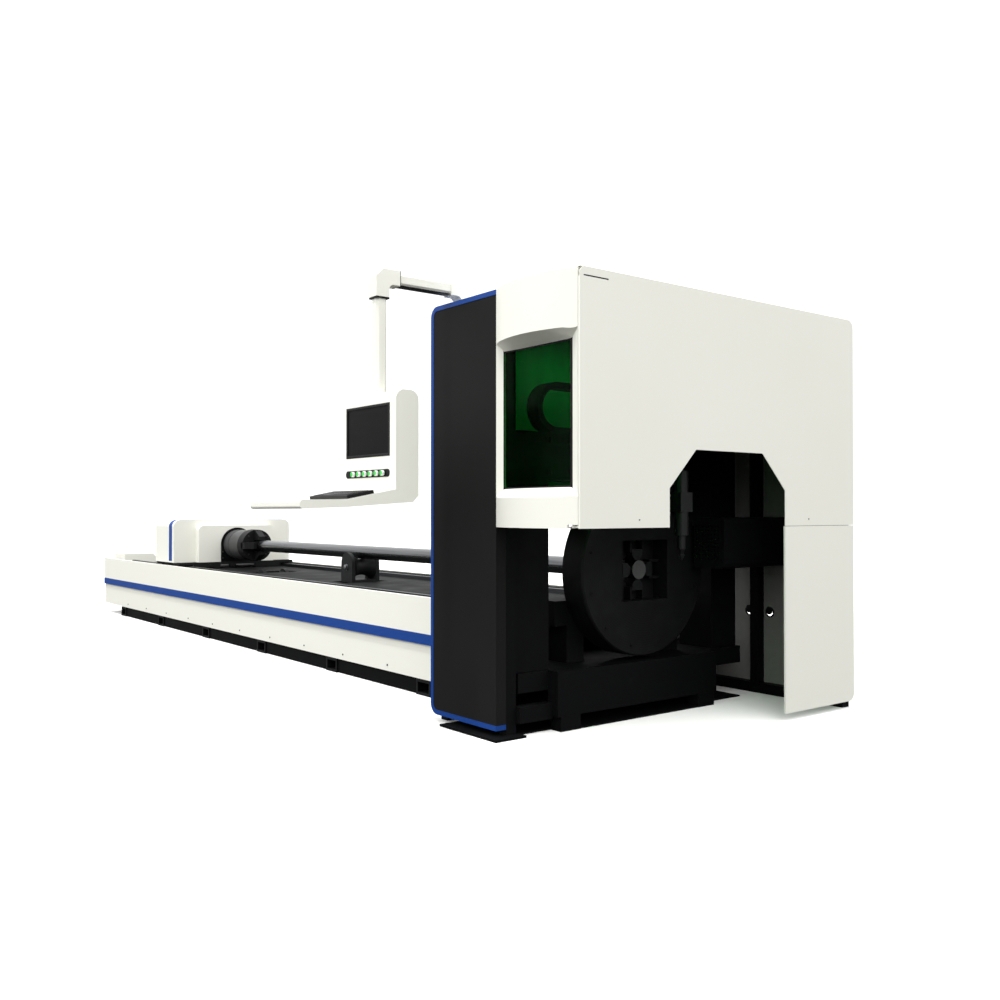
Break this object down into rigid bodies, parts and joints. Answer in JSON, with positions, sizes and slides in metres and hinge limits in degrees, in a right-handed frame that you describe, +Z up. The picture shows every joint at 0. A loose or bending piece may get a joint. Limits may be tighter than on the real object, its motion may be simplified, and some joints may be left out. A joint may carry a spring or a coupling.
{
  "type": "fiber laser tube cutting machine",
  "caption": "Long tube laser cutter: a bed with a travelling chuck, roller supports and a rotating front chuck inside a white enclosure with a green window and a control pendant.",
  "frame": {"origin": "on the floor under the tube axis, in the middle of the bed's four anchor holes", "axes": "+X along the tube towards the exit end, +Z up; the operator stands at -Y"},
  "size_m": [8, 3.078, 2.252],
  "materials": {
    "white_paint": "smooth white powder coat, slight gloss",
    "black_paint": "fine matt black powder coat",
    "blue_paint": "satin blue paint",
    "charcoal_paint": "dull charcoal machine paint",
    "deck_paint": "worn dark grey paint",
    "grey_paint": "plain grey paint",
    "ground_steel": "ground along its length",
    "bright_steel": "bright drawn stainless tube",
    "black_oxide": "blackened steel, faint turning marks",
    "grey_cast": "grey cast iron",
    "anodised": "dark anodised aluminium",
    "laser_glass": "deep green laser-safe acrylic",
    "screen_glass": "dark display glass",
    "black_plastic": "fine-textured black plastic",
    "button_plastic": "translucent green lens in a bright ring"
  },
  "bodies": {
    "machine": {"bed_frame": "charcoal_paint", "bed_deck": "deck_paint", "front_skirt": "white_paint", "rear_skirt": "white_paint", "skirt_stripes": "blue_paint", "far_end_panel": "white_paint", "end_cover": "white_paint", "carriage_rails": "ground_steel", "head_base": "charcoal_paint", "chuck_stand": "charcoal_paint", "gantry": "charcoal_paint", "cable_loop": "black_plastic", "enclosure_frame": "charcoal_paint", "side_trim": "blue_paint", "side_panel": "black_paint", "end_panel": "white_paint", "end_leg_panel": "white_paint", "top_cover": "white_paint", "rear_panel": "white_paint", "entry_wall": "white_paint", "extraction_duct": "charcoal_paint", "door_pivots": "ground_steel", "pendant_post": "white_paint"},
    "door": {"door_shell": "white_paint", "window_pane": "laser_glass"},
    "arm": {"arm_elbows": "white_paint", "swing_arm": "white_paint"},
    "pendant": {"swivel_collar": "black_plastic", "drop_tube": "white_paint", "pendant_case": "white_paint", "pendant_screen": "screen_glass", "button_plate": "black_plastic", "keyboard": "black_plastic"},
    "carriage": {"carriage_base": "deck_paint", "carriage_cover": "white_paint", "spindle_flange": "charcoal_paint", "spindle_housing": "grey_paint"},
    "rear_chuck": {"rear_chuck": "black_oxide", "workpiece_tube": "bright_steel"},
    "front_chuck": {"front_chuck": "black_oxide"},
    "lift_a": {"support_a": "grey_cast"},
    "roller_a": {"roller_a": "black_oxide"},
    "lift_b": {"support_b": "grey_cast"},
    "roller_b": {"roller_b": "black_oxide"},
    "cross_slide": {"cross_slide": "charcoal_paint"},
    "cutting_head": {"cutting_head": "anodised"},
    "button_1": {"button_1": "button_plastic"},
    "button_2": {"button_2": "button_plastic"},
    "button_3": {"button_3": "button_plastic"},
    "button_4": {"button_4": "button_plastic"},
    "button_5": {"button_5": "button_plastic"},
    "button_6": {"button_6": "button_plastic"},
    "rear_jaw_1": {"rear_jaw_1": "black_oxide"},
    "front_jaw_1": {"front_jaw_1": "black_oxide"},
    "rear_jaw_2": {"rear_jaw_2": "black_oxide"},
    "front_jaw_2": {"front_jaw_2": "black_oxide"},
    "rear_jaw_3": {"rear_jaw_3": "black_oxide"},
    "front_jaw_3": {"front_jaw_3": "black_oxide"},
    "rear_jaw_4": {"rear_jaw_4": "black_oxide"},
    "front_jaw_4": {"front_jaw_4": "black_oxide"}
  },
  "joints": [
    {"name": "carriage_feed", "type": "slide", "parent": "machine", "child": "carriage", "axis": [1, 0, 0], "range_m": [-0.95, 1.65]},
    {"name": "front_chuck_spin", "type": "hinge", "parent": "machine", "child": "front_chuck", "pos_m": [3.922, 0, 0.77], "axis": [1, 0, 0], "continuous": true},
    {"name": "rear_chuck_spin", "type": "hinge", "parent": "carriage", "child": "rear_chuck", "pos_m": [-0.978, 0, 0.77], "axis": [1, 0, 0], "continuous": true},
    {"name": "lift_a_slide", "type": "slide", "parent": "machine", "child": "lift_a", "axis": [0, 0, 1], "range_m": [0, 0.2]},
    {"name": "lift_b_slide", "type": "slide", "parent": "machine", "child": "lift_b", "axis": [0, 0, 1], "range_m": [-0.2, 0]},
    {"name": "roller_a_spin", "type": "hinge", "parent": "lift_a", "child": "roller_a", "pos_m": [-0.578, 0, 0.4565], "axis": [0, 1, 0], "continuous": true},
    {"name": "roller_b_spin", "type": "hinge", "parent": "lift_b", "child": "roller_b", "pos_m": [0.982, 0, 0.6565], "axis": [0, 1, 0], "continuous": true},
    {"name": "head_cross", "type": "slide", "parent": "machine", "child": "cross_slide", "axis": [0, 1, 0], "range_m": [-0.15, 0.15]},
    {"name": "head_lift", "type": "slide", "parent": "cross_slide", "child": "cutting_head", "axis": [0, 0, 1], "range_m": [-0.008, 0.15]},
    {"name": "door_hinge", "type": "hinge", "parent": "machine", "child": "door", "pos_m": [4.527, -0.973, 1.5], "axis": [0, 0, 1], "range_deg": [0, 100]},
    {"name": "arm_swing", "type": "hinge", "parent": "machine", "child": "arm", "pos_m": [3.575, -0.877, 2.17], "axis": [0, 0, 1], "range_deg": [-45, 30]},
    {"name": "pendant_swivel", "type": "hinge", "parent": "arm", "child": "pendant", "pos_m": [3.575, -1.377, 2.13], "axis": [0, 0, -1], "range_deg": [-90, 90]},
    {"name": "rear_jaw_1_slide", "type": "slide", "parent": "rear_chuck", "child": "rear_jaw_1", "axis": [0, 0, 1], "range_m": [0, 0.045]},
    {"name": "rear_jaw_2_slide", "type": "slide", "parent": "rear_chuck", "child": "rear_jaw_2", "axis": [0, 1, 0], "range_m": [0, 0.045]},
    {"name": "rear_jaw_3_slide", "type": "slide", "parent": "rear_chuck", "child": "rear_jaw_3", "axis": [0, 0, -1], "range_m": [0, 0.045]},
    {"name": "rear_jaw_4_slide", "type": "slide", "parent": "rear_chuck", "child": "rear_jaw_4", "axis": [0, -1, 0], "range_m": [0, 0.045]},
    {"name": "front_jaw_1_slide", "type": "slide", "parent": "front_chuck", "child": "front_jaw_1", "axis": [0, 0, 1], "range_m": [0, 0.045]},
    {"name": "front_jaw_2_slide", "type": "slide", "parent": "front_chuck", "child": "front_jaw_2", "axis": [0, 1, 0], "range_m": [0, 0.045]},
    {"name": "front_jaw_3_slide", "type": "slide", "parent": "front_chuck", "child": "front_jaw_3", "axis": [0, 0, -1], "range_m": [0, 0.045]},
    {"name": "front_jaw_4_slide", "type": "slide", "parent": "front_chuck", "child": "front_jaw_4", "axis": [0, -1, 0], "range_m": [0, 0.045]},
    {"name": "button_1_press", "type": "slide", "parent": "pendant", "child": "button_1", "axis": [0, 1, 0], "range_m": [0, 0.004], "stiffness_N_per_m": 500},
    {"name": "button_2_press", "type": "slide", "parent": "pendant", "child": "button_2", "axis": [0, 1, 0], "range_m": [0, 0.004], "stiffness_N_per_m": 500},
    {"name": "button_3_press", "type": "slide", "parent": "pendant", "child": "button_3", "axis": [0, 1, 0], "range_m": [0, 0.004], "stiffness_N_per_m": 500},
    {"name": "button_4_press", "type": "slide", "parent": "pendant", "child": "button_4", "axis": [0, 1, 0], "range_m": [0, 0.004], "stiffness_N_per_m": 500},
    {"name": "button_5_press", "type": "slide", "parent": "pendant", "child": "button_5", "axis": [0, 1, 0], "range_m": [0, 0.004], "stiffness_N_per_m": 500},
    {"name": "button_6_press", "type": "slide", "parent": "pendant", "child": "button_6", "axis": [0, 1, 0], "range_m": [0, 0.004], "stiffness_N_per_m": 500}
  ],
  "couplings": [
    {"joint": "rear_chuck_spin", "follows": "front_chuck_spin", "ratio": 1},
    {"joint": "rear_jaw_2_slide", "follows": "rear_jaw_1_slide", "ratio": 1},
    {"joint": "rear_jaw_3_slide", "follows": "rear_jaw_1_slide", "ratio": 1},
    {"joint": "rear_jaw_4_slide", "follows": "rear_jaw_1_slide", "ratio": 1},
    {"joint": "front_jaw_2_slide", "follows": "front_jaw_1_slide", "ratio": 1},
    {"joint": "front_jaw_3_slide", "follows": "front_jaw_1_slide", "ratio": 1},
    {"joint": "front_jaw_4_slide", "follows": "front_jaw_1_slide", "ratio": 1}
  ]
}
